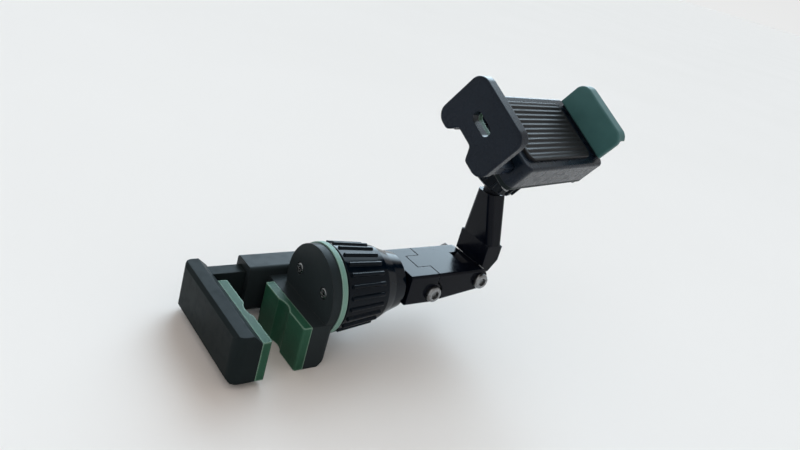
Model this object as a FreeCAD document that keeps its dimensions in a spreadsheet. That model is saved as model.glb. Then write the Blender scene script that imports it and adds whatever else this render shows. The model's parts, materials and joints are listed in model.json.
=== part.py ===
import FreeCAD, Part
import os
import re
import Sketcher

# Phone holder for a bar or pole: a hook clamp, two ball joints, a two-hinge arm and a spring clip.
# Origin on the pole axis at mid-height of the jaws, +Z along the pole, +X from the pole to the arm.

SIZES = {
    # Pole clamp
    "pole_radius": "8.6",
    "groove_half_angle": "32",
    "jaw_height": "16",
    "pad_wall": "2.4",
    "pad_edge_round": "0.8",
    "fixed_jaw_half_width": "16.5",
    "fixed_jaw_depth": "9.6",
    "fixed_jaw_round": "2.5",
    "fixed_jaw_bevel": "3.5",
    "fixed_jaw_drop": "2.5",
    "flange_radius": "17.5",
    "flange_thickness": "4",
    "ball_axis_height": "14.2",
    "hook_near_reach": "20.8",
    "hook_thickness": "10",
    "hook_ridge_rise": "3.2",
    "hook_ridge_width": "5",
    "hook_edge_break": "1.2",
    "hook_end_round": "4",
    "throat_depth": "24",
    "bridge_thickness": "6",
    "tongue_height": "14",
    "tongue_middle_height": "2",
    "tongue_reach": "32",
    "slide_clearance": "0.2",
    "channel_start": "2",
    "channel_length": "46",
    "channel_wall": "2.8",
    "channel_round": "1.5",
    "cover_thickness": "2.4",
    "cover_round": "0.8",
    "spring_slot_height": "8",
    "spring_slot_start": "17",
    "spring_pin_radius": "1.25",
    "spring_pin_inset": "3",
    "clamp_coil_radius": "2.35",
    "clamp_wire_radius": "0.45",
    "clamp_coil_turns": "8",
    "spring_end_gap": "0.1",
    # Ball joint at the clamp
    "base_ball_radius": "9.5",
    "base_ball_reach": "14.4",
    "ball_clearance": "0.15",
    "socket_radius": "12.8",
    "socket_flange_radius": "15",
    "socket_flange_thickness": "2.6",
    "socket_lip_reach": "6",
    "finger_slot_width": "1.6",
    "finger_slot_depth": "11",
    "socket_screw_spacing": "19",
    "socket_screw_rise": "3.5",
    "ring_radius": "18",
    "ring_thickness": "2.2",
    "ring_clearance": "0.1",
    "collar_radius": "17.4",
    "collar_shoulder_radius": "15.4",
    "collar_gap": "0.3",
    "collar_barrel_length": "21",
    "collar_taper_length": "5",
    "collar_nose_radius": "13.4",
    "collar_nose_end_radius": "11.8",
    "collar_nose_length": "7",
    "collar_mouth_radius": "9",
    "collar_edge_break": "1",
    "thread_clearance": "0.25",
    "cone_clearance": "0.4",
    "collar_rib_count": "24",
    "collar_rib_radius": "0.9",
    "collar_rib_length": "16",
    "collar_rib_start": "2.5",
    # Folding arm
    "neck_radius": "6.2",
    "fork_gap": "0.8",
    "fork_root_wall": "7.7",
    "pivot_drop": "0.8",
    "link_half_width": "12",
    "knuckle_radius": "5",
    "tongue_half_width": "4.5",
    "tongue_side_clearance": "0.25",
    "tongue_end_clearance": "0.4",
    "link_edge_round": "1.2",
    "hinge_spacing": "26.3",
    "middle_link_rise": "8",
    "fork_end_reach": "1.5",
    "link_end_gap": "0.4",
    "stem_reach": "7",
    "hinge_screw_radius": "2",
    "running_clearance": "0.05",
    "hinge_head_radius": "3.6",
    "hinge_head_height": "2.4",
    "hinge_head_round": "1.2",
    "hinge_nut_flats": "7",
    "hinge_nut_height": "3.2",
    "hinge_screw_end": "0.8",
    "arm_rise": "51",
    "arm_offset": "3",
    "arm_foot_start": "2",
    "arm_foot_half_width": "9.5",
    "arm_foot_depth": "8.5",
    "arm_foot_low": "8",
    "arm_foot_rise": "15",
    "arm_foot_slope": "4",
    "arm_top_rise": "38",
    "arm_top_width": "10",
    "arm_top_depth": "9.6",
    "arm_corner_round": "2.4",
    "stud_radius": "4",
    # Phone clip, in its own frame: x across the phone, y up the phone, z out of its screen
    "clip_ball_radius": "8.5",
    "clip_yaw": "11.8",
    "clip_pitch": "1.9",
    "clip_roll": "32.2",
    "phone_gap": "75.5",
    "phone_back_level": "26",
    "far_grip_face": "32",
    "closed_gap": "60",
    "rest_pad_thickness": "1.4",
    "rest_pad_margin": "4",
    "shell_half_height": "18.5",
    "shell_depth": "12.1",
    "shell_wall": "2.1",
    "shell_round": "4",
    "shell_edge_round": "1.2",
    "back_thickness": "2.5",
    "boss_radius": "2",
    "boss_inset": "2",
    "cup_radius": "11.2",
    "cup_lip_reach": "3.2",
    "clip_nut_radius": "13",
    "clip_nut_length": "13",
    "clip_nut_lip": "2.7",
    "clip_nut_lip_gap": "0.4",
    "clip_mouth_radius": "8.5",
    "clip_mouth_flare": "1.3",
    "clip_rib_count": "18",
    "clip_rib_radius": "0.8",
    "clip_rib_length": "9",
    "clip_rib_start": "2",
    "jaw_half_height": "16",
    "jaw_plate": "4",
    "jaw_front_reach": "14.5",
    "jaw_corner_round": "5",
    "jaw_edge_round": "1",
    "jaw_back_reach": "1",
    "jaw_notch_middle": "1",
    "jaw_notch_root_half": "4.2",
    "jaw_notch_mouth_half": "7.2",
    "jaw_notch_depth": "5",
    "jaw_notch_round": "2",
    "lip_overhang": "1.2",
    "lip_thickness": "2.4",
    "grip_pad_thickness": "2.5",
    "grip_pad_margin": "1.5",
    "window_half_length": "5",
    "window_half_width": "2.3",
    "window_round": "2",
    "window_level": "3.3",
    "bar_height": "6.5",
    "bar_thickness": "4",
    "bar_offset": "10.5",
    "bar_inset": "3.5",
    "bar_reach": "55.5",
    "crossbar_thickness": "2.5",
    "clip_coil_radius": "3",
    "clip_wire_radius": "0.5",
    "clip_coil_turns": "9",
    # Small screws
    "small_screw_radius": "0.9",
    "small_head_radius": "1.7",
    "small_head_height": "1.1",
    "cover_screw_length": "8",
    "shell_screw_length": "9",
    "crossbar_screw_length": "8",
    "socket_screw_radius": "1.25",
    "socket_head_radius": "2.4",
    "socket_head_height": "1.6",
    "socket_screw_length": "8",
}

# Places worked out from the sizes above
PAD_BACK = "(pole_radius + pad_wall)"
PAD_FLAT = "(pole_radius * cos(groove_half_angle))"
JAW_TOP = "(jaw_height / 2)"
FLANGE_FACE = "(pole_radius + pad_wall + fixed_jaw_depth)"
BRIDGE_OUTER = "(throat_depth + bridge_thickness)"
BRIDGE_MIDDLE = "(throat_depth + bridge_thickness / 2)"
TONGUE_LOW = "(tongue_middle_height - tongue_height / 2)"
TONGUE_HIGH = "(tongue_middle_height + tongue_height / 2)"
CHANNEL_NEAR = "(throat_depth - slide_clearance - channel_wall)"
CHANNEL_FAR = f"({BRIDGE_OUTER} + slide_clearance + channel_wall)"
CHANNEL_LOW = f"({TONGUE_LOW} - slide_clearance - channel_wall)"
CHANNEL_HIGH = f"({TONGUE_HIGH} + slide_clearance + channel_wall)"
HOOK_BACK = f"({PAD_BACK} + hook_thickness)"
HOOK_RIDGE = f"({JAW_TOP} + hook_ridge_rise)"
HOOK_PIN = "(spring_slot_start + spring_pin_radius)"
CHANNEL_PIN = "(channel_length - spring_pin_inset)"
COLLAR_START = "(ring_thickness + collar_gap)"
COLLAR_SHOULDER = f"({COLLAR_START} + collar_barrel_length)"
COLLAR_NOSE = f"({COLLAR_SHOULDER} + collar_taper_length)"
COLLAR_END = f"({COLLAR_NOSE} + collar_nose_length)"
SOCKET_END = "(base_ball_reach + socket_lip_reach)"
SOCKET_TOP_EDGE = f"({SOCKET_END} + cone_clearance)"
COLLAR_CONE_LENGTH = "(socket_radius + thread_clearance - collar_mouth_radius)"
FORK_START = f"({FLANGE_FACE} + {COLLAR_END} + fork_gap)"
KNUCKLE_ROOM = "(knuckle_radius + tongue_end_clearance)"
FIRST_PIVOT = f"({FORK_START} + fork_root_wall + {KNUCKLE_ROOM})"
FIRST_PIVOT_Z = "(ball_axis_height - pivot_drop)"
FORK_TOP = "(knuckle_radius + hinge_spacing * sin(middle_link_rise))"
FORK_SLOT_HALF = "(tongue_half_width + tongue_side_clearance)"
SECOND_PIVOT_X = f"({FIRST_PIVOT} + hinge_spacing * cos(middle_link_rise))"
SECOND_PIVOT_Z = f"({FIRST_PIVOT_Z} + hinge_spacing * sin(middle_link_rise))"
CLIP_X = f"({SECOND_PIVOT_X} + arm_offset)"
CLIP_Z = f"({SECOND_PIVOT_Z} + arm_rise)"
SHELL_FRONT = "(phone_back_level - rest_pad_thickness)"
SHELL_BACK = f"({SHELL_FRONT} - shell_depth)"
BACK_FACE = f"({SHELL_BACK} - back_thickness)"
SHELL_NEAR = "(far_grip_face - closed_gap)"
SHELL_FAR = "(far_grip_face + grip_pad_thickness + jaw_plate)"
NEAR_GRIP_FACE = "(far_grip_face - phone_gap)"
NEAR_PLATE_INNER = f"({NEAR_GRIP_FACE} - grip_pad_thickness)"
NEAR_PLATE_OUTER = f"({NEAR_PLATE_INNER} - jaw_plate)"
JAW_FRONT = "(phone_back_level + jaw_front_reach)"
CAP_SEAT = f"({JAW_FRONT} - lip_thickness)"
WINDOW_MIDDLE = "(phone_back_level + window_level)"
BAR_LOW = f"({SHELL_BACK} + bar_inset)"
BAR_HIGH = f"({BAR_LOW} + bar_thickness)"
BAR_MIDDLE = f"({BAR_LOW} + bar_thickness / 2)"
BAR_END = f"({NEAR_PLATE_INNER} + bar_reach)"
NEAR_JAW_BACK = f"({BAR_LOW} - jaw_back_reach)"
BOSS_NEAR = f"({SHELL_NEAR} + shell_wall + boss_inset)"
BOSS_FAR = f"({SHELL_FAR} - jaw_plate - boss_inset)"
BOSS_HEIGHT = "(shell_half_height - boss_inset)"
ALONG_X = FreeCAD.Rotation(FreeCAD.Vector(0, 1, 0), 90)
UPRIGHT = FreeCAD.Rotation()
TINY = 1e-4

doc = FreeCAD.newDocument("PhoneHolder")
sizes = doc.addObject("Spreadsheet::Sheet", "Sizes")
for row, (alias, number) in enumerate(SIZES.items(), 1):
    sizes.set(f"A{row}", alias.replace("_", " "))
    sizes.set(f"B{row}", number)
    sizes.setAlias(f"B{row}", alias)
doc.recompute()
sub_parts = []


def bound(formula):
    """The formula as an expression on the sheet's cells."""
    return re.sub(r"[a-z_]+", lambda word: f"Sizes.{word[0]}" if word[0] in SIZES else word[0], formula)


def value(formula):
    return float(sizes.evalExpression(bound(formula)))


def place(x, y, z, rotation=UPRIGHT):
    return FreeCAD.Placement(FreeCAD.Vector(value(x), value(y), value(z)), rotation)


def clip_place(x="0", y="0", z="0", rotation=UPRIGHT):
    """A place given in the clip's own frame."""
    turn = FreeCAD.Rotation(value("clip_yaw"), value("clip_pitch"), value("clip_roll"))
    return place(CLIP_X, "0", CLIP_Z, turn).multiply(place(x, y, z, rotation))


def new_body(label, placement):
    body = doc.addObject("PartDesign::Body", label)
    body.Label = label
    body.Placement = placement
    sub_parts.append(body)
    return body


def origin_feature(body, role):
    return next(item for item in body.Origin.OriginFeatures if item.Role == role)


def attach(item, body, plane, offset):
    item.AttachmentSupport = [(origin_feature(body, plane), "")]
    item.MapMode = "FlatFace"
    item.setExpression("AttachmentOffset.Base.z", bound(offset))


def new_sketch(body, plane, offset="0"):
    sketch = body.newObject("Sketcher::SketchObject", f"outline_of_{body.Label}")
    attach(sketch, body, plane, offset)
    return sketch


def drive(sketch, constraint, formula):
    index = sketch.addConstraint(constraint)
    sketch.setExpression(f"Constraints[{index}]", bound(formula))


def fix_point(sketch, edge, point, x, y):
    drive(sketch, Sketcher.Constraint("DistanceX", edge, point, value(x)), x)
    drive(sketch, Sketcher.Constraint("DistanceY", edge, point, value(y)), y)


def polygon(body, plane, corners, offset="0"):
    sketch = new_sketch(body, plane, offset)
    points = [FreeCAD.Vector(value(x), value(y), 0) for x, y in corners]
    for index, point in enumerate(points):
        sketch.addGeometry(Part.LineSegment(point, points[(index + 1) % len(points)]))
    for index, (x, y) in enumerate(corners):
        following = (index + 1) % len(points)
        sketch.addConstraint(Sketcher.Constraint("Coincident", index, 2, following, 1))
        fix_point(sketch, index, 1, x, y)
    return sketch


def rectangle(body, plane, low, high, offset="0"):
    corners = [low, (high[0], low[1]), high, (low[0], high[1])]
    return polygon(body, plane, corners, offset)


def circles(body, plane, centres, radius, offset="0"):
    sketch = new_sketch(body, plane, offset)
    for x, y in centres:
        centre = FreeCAD.Vector(value(x), value(y), 0)
        edge = sketch.addGeometry(Part.Circle(centre, FreeCAD.Vector(0, 0, 1), value(radius)))
        fix_point(sketch, edge, 3, x, y)
        drive(sketch, Sketcher.Constraint("Radius", edge, value(radius)), radius)
    return sketch


def extrude(body, kind, sketch, length, symmetric, backwards):
    feature = body.newObject(f"PartDesign::{kind}", f"{kind.lower()}_of_{body.Label}")
    feature.Profile = sketch
    feature.setExpression("Length", bound(length))
    feature.SideType = "Symmetric" if symmetric else "One side"
    feature.Reversed = backwards
    doc.recompute()
    return feature


def pad(body, sketch, length, symmetric=False, backwards=False):
    return extrude(body, "Pad", sketch, length, symmetric, backwards)


def pocket(body, sketch, length, symmetric=False, backwards=False):
    before = body.Tip.Shape.Volume
    feature = extrude(body, "Pocket", sketch, length, symmetric, backwards)
    if feature.Shape.Volume > before - TINY:
        raise RuntimeError(f"{body.Label}: a cut removed nothing")
    return feature


def revolve(body, corners):
    """A solid of revolution about the body's own Z, from (radius, height) corners."""
    feature = body.newObject("PartDesign::Revolution", f"turning_of_{body.Label}")
    sketch = polygon(body, "XZ_Plane", corners)
    feature.Profile = sketch
    feature.ReferenceAxis = (sketch, ["V_Axis"])
    feature.Angle = 360
    doc.recompute()
    return feature


def sphere(body, kind, radius, plane, offset):
    feature = body.newObject(f"PartDesign::{kind}Sphere", f"ball_of_{body.Label}")
    attach(feature, body, plane, offset)
    feature.setExpression("Radius", bound(radius))
    doc.recompute()
    return feature


def around(body, feature, count):
    pattern = body.newObject("PartDesign::PolarPattern", f"ribs_of_{body.Label}")
    pattern.Originals = [feature]
    pattern.Axis = (origin_feature(body, "Z_Axis"), [""])
    pattern.Angle = 360
    pattern.setExpression("Occurrences", bound(count))
    body.Tip = pattern
    doc.recompute()


def loft(body, first, last):
    feature = body.newObject("PartDesign::AdditiveLoft", f"taper_of_{body.Label}")
    feature.Profile = first
    feature.Sections = [last]
    feature.Ruled = True
    doc.recompute()
    return feature


def ends(edge):
    return [vertex.Point for vertex in edge.Vertexes]


def runs_along(edge, axis):
    """A straight edge parallel to the axis 0, 1 or 2."""
    points = ends(edge)
    if len(points) < 2 or edge.Curve.TypeId != "Part::GeomLine":
        return False
    step = points[1] - points[0]
    return abs(abs(step[axis]) - step.Length) < TINY


def lies_at(edge, axis, *levels):
    """An edge whose ends and middle all lie on one of the given planes."""
    middle = edge.valueAt((edge.FirstParameter + edge.LastParameter) / 2)
    points = ends(edge) + [middle]
    return any(all(abs(point[axis] - level) < TINY for point in points) for level in levels)


def round_edges(body, radius, chosen):
    doc.recompute()
    base = body.Tip
    numbered = enumerate(base.Shape.Edges, 1)
    names = [f"Edge{index}" for index, edge in numbered if not edge.Degenerated and chosen(edge)]
    feature = body.newObject("PartDesign::Fillet", f"rounding_of_{body.Label}")
    feature.Base = (base, names)
    feature.setExpression("Radius", bound(radius))
    doc.recompute()
    return feature


def small_screws(label, placement, centres, plane, seat, names, points_down):
    """Pan-head screws side by side, with their heads on the given level of the plane."""
    radius, head_radius, head_height, length = names
    body = new_body(label, placement)
    pad(body, circles(body, plane, centres, head_radius, seat), head_height, backwards=points_down)
    pad(body, circles(body, plane, centres, radius, seat), length, backwards=not points_down)
    return body


SMALL_SCREW = ("small_screw_radius", "small_head_radius", "small_head_height")
SOCKET_SCREW = ("socket_screw_radius", "socket_head_radius", "socket_head_height", "socket_screw_length")
COVER_SCREWS = [
    (f"{CHANNEL_NEAR} + channel_wall / 2", f"{CHANNEL_HIGH} - channel_wall / 2"),
    (f"{CHANNEL_FAR} - channel_wall / 2", f"{CHANNEL_LOW} + channel_wall / 2"),
]
SOCKET_SCREW_LEVEL = "(ball_axis_height + socket_screw_rise)"
SOCKET_SCREWS = [(f"{side} * socket_screw_spacing / 2", SOCKET_SCREW_LEVEL) for side in (-1, 1)]
SHELL_SCREWS = [(x, f"{side} * {BOSS_HEIGHT}") for x in (BOSS_NEAR, BOSS_FAR) for side in (-1, 1)]
BAR_MIDDLES = [f"{side} * bar_offset" for side in (-1, 1)]
CROSSBAR_SCREWS = [(middle, BAR_MIDDLE) for middle in BAR_MIDDLES]


def make_clamp_body():
    body = new_body("clamp_body", place("0", "0", "0"))
    channel = rectangle(body, "YZ_Plane", (CHANNEL_NEAR, CHANNEL_LOW), (CHANNEL_FAR, CHANNEL_HIGH),
                        "channel_start")
    pad(body, channel, "channel_length - channel_start")
    sides = (value(CHANNEL_NEAR), value(CHANNEL_FAR))
    levels = (value(CHANNEL_LOW), value(CHANNEL_HIGH))
    round_edges(body, "channel_round", lambda edge: runs_along(edge, 0)
                and lies_at(edge, 1, *sides) and lies_at(edge, 2, *levels))
    jaw_root = f"({CHANNEL_NEAR} + channel_wall / 2)"
    jaw_low = f"(-{JAW_TOP} - fixed_jaw_drop)"
    jaw = polygon(body, "XZ_Plane", [
        (PAD_BACK, jaw_low),
        (f"{FLANGE_FACE} - fixed_jaw_bevel", jaw_low),
        (FLANGE_FACE, f"{jaw_low} + fixed_jaw_bevel"),
        (FLANGE_FACE, JAW_TOP),
        (PAD_BACK, JAW_TOP),
    ], f"-{jaw_root}")
    pad(body, jaw, f"{jaw_root} + fixed_jaw_half_width")
    round_edges(body, "fixed_jaw_round", lambda edge: runs_along(edge, 2)
                and lies_at(edge, 1, -value("fixed_jaw_half_width")) and lies_at(edge, 0, value(FLANGE_FACE)))
    flange = circles(body, "YZ_Plane", [("0", "ball_axis_height")], "flange_radius", FLANGE_FACE)
    pad(body, flange, "flange_thickness", backwards=True)
    bore = rectangle(body, "YZ_Plane", ("throat_depth - slide_clearance", f"{TONGUE_LOW} - slide_clearance"),
                     (f"{BRIDGE_OUTER} + slide_clearance", f"{TONGUE_HIGH} + slide_clearance"))
    pocket(body, bore, "channel_length", backwards=True)
    pin_hole = circles(body, "XY_Plane", [(CHANNEL_PIN, BRIDGE_MIDDLE)], "spring_pin_radius", CHANNEL_HIGH)
    pocket(body, pin_hole, f"{CHANNEL_HIGH} - {CHANNEL_LOW} - channel_wall / 2")
    cover_holes = circles(body, "YZ_Plane", COVER_SCREWS, "small_screw_radius", "channel_length")
    pocket(body, cover_holes, "cover_screw_length - cover_thickness")
    front = f"({FLANGE_FACE} - flange_thickness)"
    head_seats = circles(body, "YZ_Plane", SOCKET_SCREWS, "socket_head_radius", front)
    pocket(body, head_seats, "socket_head_height", backwards=True)
    screw_holes = circles(body, "YZ_Plane", SOCKET_SCREWS, "socket_screw_radius", front)
    pocket(body, screw_holes, "flange_thickness", backwards=True)


def make_jaw_pad(label, near, far, drop, side):
    """A rubber pad with a round groove for the pole; side 1 is towards the arm, -1 towards the hook."""
    body = new_body(label, place("0", "0", "0"))
    block = rectangle(body, "XY_Plane", (f"{side} * {PAD_FLAT}", near),
                      (f"{side} * {PAD_BACK}", far), f"-{JAW_TOP} - {drop}")
    pad(body, block, f"jaw_height + {drop}")
    groove = circles(body, "XY_Plane", [("0", "0")], "pole_radius", JAW_TOP)
    pocket(body, groove, f"jaw_height + {drop}")
    face = side * value(PAD_FLAT)
    round_edges(body, "pad_edge_round", lambda edge: runs_along(edge, 2)
                and lies_at(edge, 0, face) and lies_at(edge, 1, value(near), value(far)))


def make_hook_jaw():
    body = new_body("hook_jaw", place("0", "0", "0"))
    outline = polygon(body, "XZ_Plane", [
        (f"-{HOOK_BACK}", f"-{JAW_TOP} + hook_edge_break"),
        (f"-{HOOK_BACK} + hook_edge_break", f"-{JAW_TOP}"),
        (f"-{PAD_BACK}", f"-{JAW_TOP}"),
        (f"-{PAD_BACK}", JAW_TOP),
        (f"-{HOOK_BACK} + hook_edge_break + hook_ridge_width", HOOK_RIDGE),
        (f"-{HOOK_BACK} + hook_edge_break", HOOK_RIDGE),
        (f"-{HOOK_BACK}", f"{HOOK_RIDGE} - hook_edge_break"),
    ], f"-{CHANNEL_FAR}")
    pad(body, outline, f"{CHANNEL_FAR} + hook_near_reach")
    tongue_start = f"({HOOK_BACK} - hook_thickness / 2)"
    tongue = rectangle(body, "YZ_Plane", ("throat_depth", TONGUE_LOW),
                       (BRIDGE_OUTER, TONGUE_HIGH), f"-{tongue_start}")
    pad(body, tongue, f"{tongue_start} + tongue_reach")
    slot = rectangle(body, "XZ_Plane", ("spring_slot_start", "tongue_middle_height - spring_slot_height / 2"),
                     ("tongue_reach", "tongue_middle_height + spring_slot_height / 2"), f"-{BRIDGE_OUTER}")
    pocket(body, slot, "bridge_thickness", backwards=True)
    pin_hole = circles(body, "XY_Plane", [(HOOK_PIN, BRIDGE_MIDDLE)], "spring_pin_radius", TONGUE_HIGH)
    pocket(body, pin_hole, "tongue_height")
    outer_ends = (value(CHANNEL_FAR), -value("hook_near_reach"))
    round_edges(body, "hook_end_round", lambda edge: runs_along(edge, 2)
                and lies_at(edge, 0, -value(HOOK_BACK)) and lies_at(edge, 1, *outer_ends))


def make_spring_pin(label, x, low, high):
    body = new_body(label, place(x, BRIDGE_MIDDLE, low))
    pad(body, circles(body, "XY_Plane", [("0", "0")], "spring_pin_radius"), f"{high} - {low}")


def make_spring(label, placement, coil_radius, wire_radius, turns, length):
    """A coil spring along the body's own Z, from its origin to the given length."""
    body = new_body(label, placement)
    wire = circles(body, "XZ_Plane", [(coil_radius, wire_radius)], wire_radius)
    coil = body.newObject("PartDesign::AdditiveHelix", f"coil_of_{label}")
    coil.Profile = wire
    coil.ReferenceAxis = (wire, ["V_Axis"])
    coil.Mode = "height-turns-angle"
    coil.setExpression("Height", bound(f"{length} - 2 * {wire_radius}"))
    coil.setExpression("Turns", bound(turns))
    doc.recompute()


def make_channel_cover():
    body = new_body("channel_cover", place("0", "0", "0"))
    plate = rectangle(body, "YZ_Plane", (CHANNEL_NEAR, CHANNEL_LOW),
                      (CHANNEL_FAR, CHANNEL_HIGH), "channel_length")
    pad(body, plate, "cover_thickness")
    outer = value("channel_length + cover_thickness")
    round_edges(body, "channel_round", lambda edge: runs_along(edge, 0))
    round_edges(body, "cover_round", lambda edge: lies_at(edge, 0, outer))
    holes = circles(body, "YZ_Plane", COVER_SCREWS, "small_screw_radius", "channel_length")
    pocket(body, holes, "cover_thickness", backwards=True)


def make_ball_socket():
    body = new_body("ball_socket", place(FLANGE_FACE, "0", "ball_axis_height", ALONG_X))
    revolve(body, [
        ("0", "0"),
        ("socket_flange_radius", "0"),
        ("socket_flange_radius", "socket_flange_thickness"),
        ("socket_radius", "socket_flange_thickness"),
        ("socket_radius", f"{SOCKET_END} - collar_edge_break"),
        ("socket_radius - collar_edge_break", SOCKET_END),
        ("0", SOCKET_END),
    ])
    sphere(body, "Subtractive", "base_ball_radius + ball_clearance", "XY_Plane", "base_ball_reach")
    half = "finger_slot_width / 2"
    for plane in ("XZ_Plane", "YZ_Plane"):
        slot = rectangle(body, plane, (f"-{half}", f"{SOCKET_END} - finger_slot_depth"), (half, SOCKET_END))
        pocket(body, slot, "2 * socket_radius", symmetric=True)
    seats = [(f"-{height} + ball_axis_height", side) for side, height in SOCKET_SCREWS]
    holes = circles(body, "XY_Plane", seats, "socket_screw_radius")
    depth = "socket_screw_length + socket_head_height - flange_thickness"
    pocket(body, holes, depth, backwards=True)


def make_collar_ring():
    body = new_body("collar_ring", place(FLANGE_FACE, "0", "ball_axis_height", ALONG_X))
    inner = "socket_flange_radius + ring_clearance"
    revolve(body, [
        (inner, "0"),
        ("ring_radius", "0"),
        ("ring_radius", "ring_thickness"),
        (inner, "ring_thickness"),
    ])


def make_collar_nut():
    body = new_body("collar_nut", place(FLANGE_FACE, "0", "ball_axis_height", ALONG_X))
    thread = "(socket_radius + thread_clearance)"
    flange_room = "(socket_flange_radius + thread_clearance)"
    step = "(socket_flange_thickness + collar_gap)"
    revolve(body, [
        (flange_room, COLLAR_START),
        ("collar_radius - collar_edge_break", COLLAR_START),
        ("collar_radius", f"{COLLAR_START} + collar_edge_break"),
        ("collar_shoulder_radius", COLLAR_SHOULDER),
        ("collar_nose_radius", COLLAR_NOSE),
        ("collar_nose_end_radius", f"{COLLAR_END} - collar_edge_break"),
        ("collar_nose_end_radius - collar_edge_break", COLLAR_END),
        ("collar_mouth_radius", COLLAR_END),
        ("collar_mouth_radius", f"{SOCKET_TOP_EDGE} + {COLLAR_CONE_LENGTH}"),
        (thread, SOCKET_TOP_EDGE),
        (thread, step),
        (flange_room, step),
    ])
    slope = "((collar_radius - collar_shoulder_radius) / (collar_barrel_length - collar_edge_break))"
    sections = []
    for along in ("collar_rib_start", "(collar_rib_start + collar_rib_length)"):
        centre = (f"collar_radius - {slope} * ({along} - collar_edge_break)", "0")
        level = f"{COLLAR_START} + {along}"
        sections.append(circles(body, "XY_Plane", [centre], "collar_rib_radius", level))
    around(body, loft(body, *sections), "collar_rib_count")


def knuckle_edges(edge):
    """The long and round outer edges of a link's two side faces."""
    half = value("link_half_width")
    if not lies_at(edge, 1, -half, half):
        return False
    if edge.Curve.TypeId == "Part::GeomCircle":
        return abs(edge.Curve.Radius - value("knuckle_radius")) < TINY
    low, high = sorted(ends(edge), key=lambda point: point.x)
    return high.x - low.x > abs(high.z - low.z)


def make_ball_fork():
    body = new_body("ball_fork", place("0", "0", "ball_axis_height"))
    sphere(body, "Additive", "base_ball_radius", "YZ_Plane", f"{FLANGE_FACE} + base_ball_reach")
    neck_start = f"({FLANGE_FACE} + base_ball_reach)"
    neck = circles(body, "YZ_Plane", [("0", "0")], "neck_radius", neck_start)
    pad(body, neck, f"{FORK_START} - {neck_start}")
    low = "(-pivot_drop - knuckle_radius)"
    fork_end = f"({FIRST_PIVOT} + fork_end_reach)"
    block = polygon(body, "XZ_Plane", [
        (FORK_START, low),
        (FIRST_PIVOT, low),
        (FIRST_PIVOT, "-pivot_drop"),
        (fork_end, "-pivot_drop"),
        (fork_end, f"{FORK_TOP} - pivot_drop"),
        (FORK_START, f"{FORK_TOP} - pivot_drop"),
    ])
    pad(body, block, "2 * link_half_width", symmetric=True)
    knuckle = circles(body, "XZ_Plane", [(FIRST_PIVOT, "-pivot_drop")], "knuckle_radius")
    pad(body, knuckle, "2 * link_half_width", symmetric=True)
    cut_fork(body, f"({FORK_START} + fork_root_wall)", FIRST_PIVOT, "-pivot_drop")
    round_edges(body, "link_edge_round", knuckle_edges)


def cut_fork(body, root, pivot, level):
    """The slot between two lugs, and the screw hole through them."""
    slot = rectangle(body, "XZ_Plane", (root, f"-2 * {FORK_TOP}"),
                     (f"{pivot} + 2 * knuckle_radius", f"2 * {FORK_TOP}"))
    pocket(body, slot, f"2 * {FORK_SLOT_HALF}", symmetric=True)
    hole = circles(body, "XZ_Plane", [(pivot, level)], "hinge_screw_radius")
    pocket(body, hole, "4 * link_half_width", symmetric=True)


def add_tongue(body):
    """The round tongue that turns in a fork, flush with its lugs."""
    tongue = circles(body, "XZ_Plane", [("0", "0")], "knuckle_radius")
    pad(body, tongue, "2 * tongue_half_width", symmetric=True)


def clear_lugs(body):
    """Hollows the shoulders beside a tongue so that the lugs can turn."""
    room = circles(body, "XZ_Plane", [("0", "0")], KNUCKLE_ROOM)
    pocket(body, room, "4 * link_half_width", symmetric=True)


def drill_tongue(body):
    hole = circles(body, "XZ_Plane", [("0", "0")], "hinge_screw_radius + running_clearance")
    pocket(body, hole, "4 * tongue_half_width", symmetric=True)


def level_top(reach):
    """In the tilted link, the point of its level top at that distance from the first pivot."""
    return (f"{reach} * cos(middle_link_rise) + {FORK_TOP} * sin(middle_link_rise)",
            f"{FORK_TOP} * cos(middle_link_rise) - {reach} * sin(middle_link_rise)")


def make_middle_link():
    body = new_body("middle_link", link_place())
    knuckle = circles(body, "XZ_Plane", [("hinge_spacing", "0")], "knuckle_radius")
    pad(body, knuckle, "2 * link_half_width", symmetric=True)
    link_end = "(fork_end_reach + link_end_gap)"
    block = polygon(body, "XZ_Plane", [
        (link_end, "0"),
        (KNUCKLE_ROOM, "0"),
        (KNUCKLE_ROOM, "-knuckle_radius"),
        ("hinge_spacing", "-knuckle_radius"),
        ("hinge_spacing + knuckle_radius * sin(middle_link_rise)", "knuckle_radius * cos(middle_link_rise)"),
        level_top(link_end),
    ])
    pad(body, block, "2 * link_half_width", symmetric=True)
    clear_lugs(body)
    add_tongue(body)
    stem = polygon(body, "XZ_Plane", [
        ("-knuckle_radius", "0"),
        ("0", "0"),
        ("0", "-knuckle_radius"),
        ("stem_reach", "-knuckle_radius"),
        level_top("stem_reach"),
        level_top("-knuckle_radius"),
    ])
    pad(body, stem, "2 * tongue_half_width", symmetric=True)
    cut_fork(body, f"(hinge_spacing - {KNUCKLE_ROOM})", "hinge_spacing", "0")
    drill_tongue(body)
    round_edges(body, "link_edge_round", knuckle_edges)


def link_place():
    rise = FreeCAD.Rotation(FreeCAD.Vector(0, 1, 0), -value("middle_link_rise"))
    return place(FIRST_PIVOT, "0", FIRST_PIVOT_Z, rise)


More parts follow.
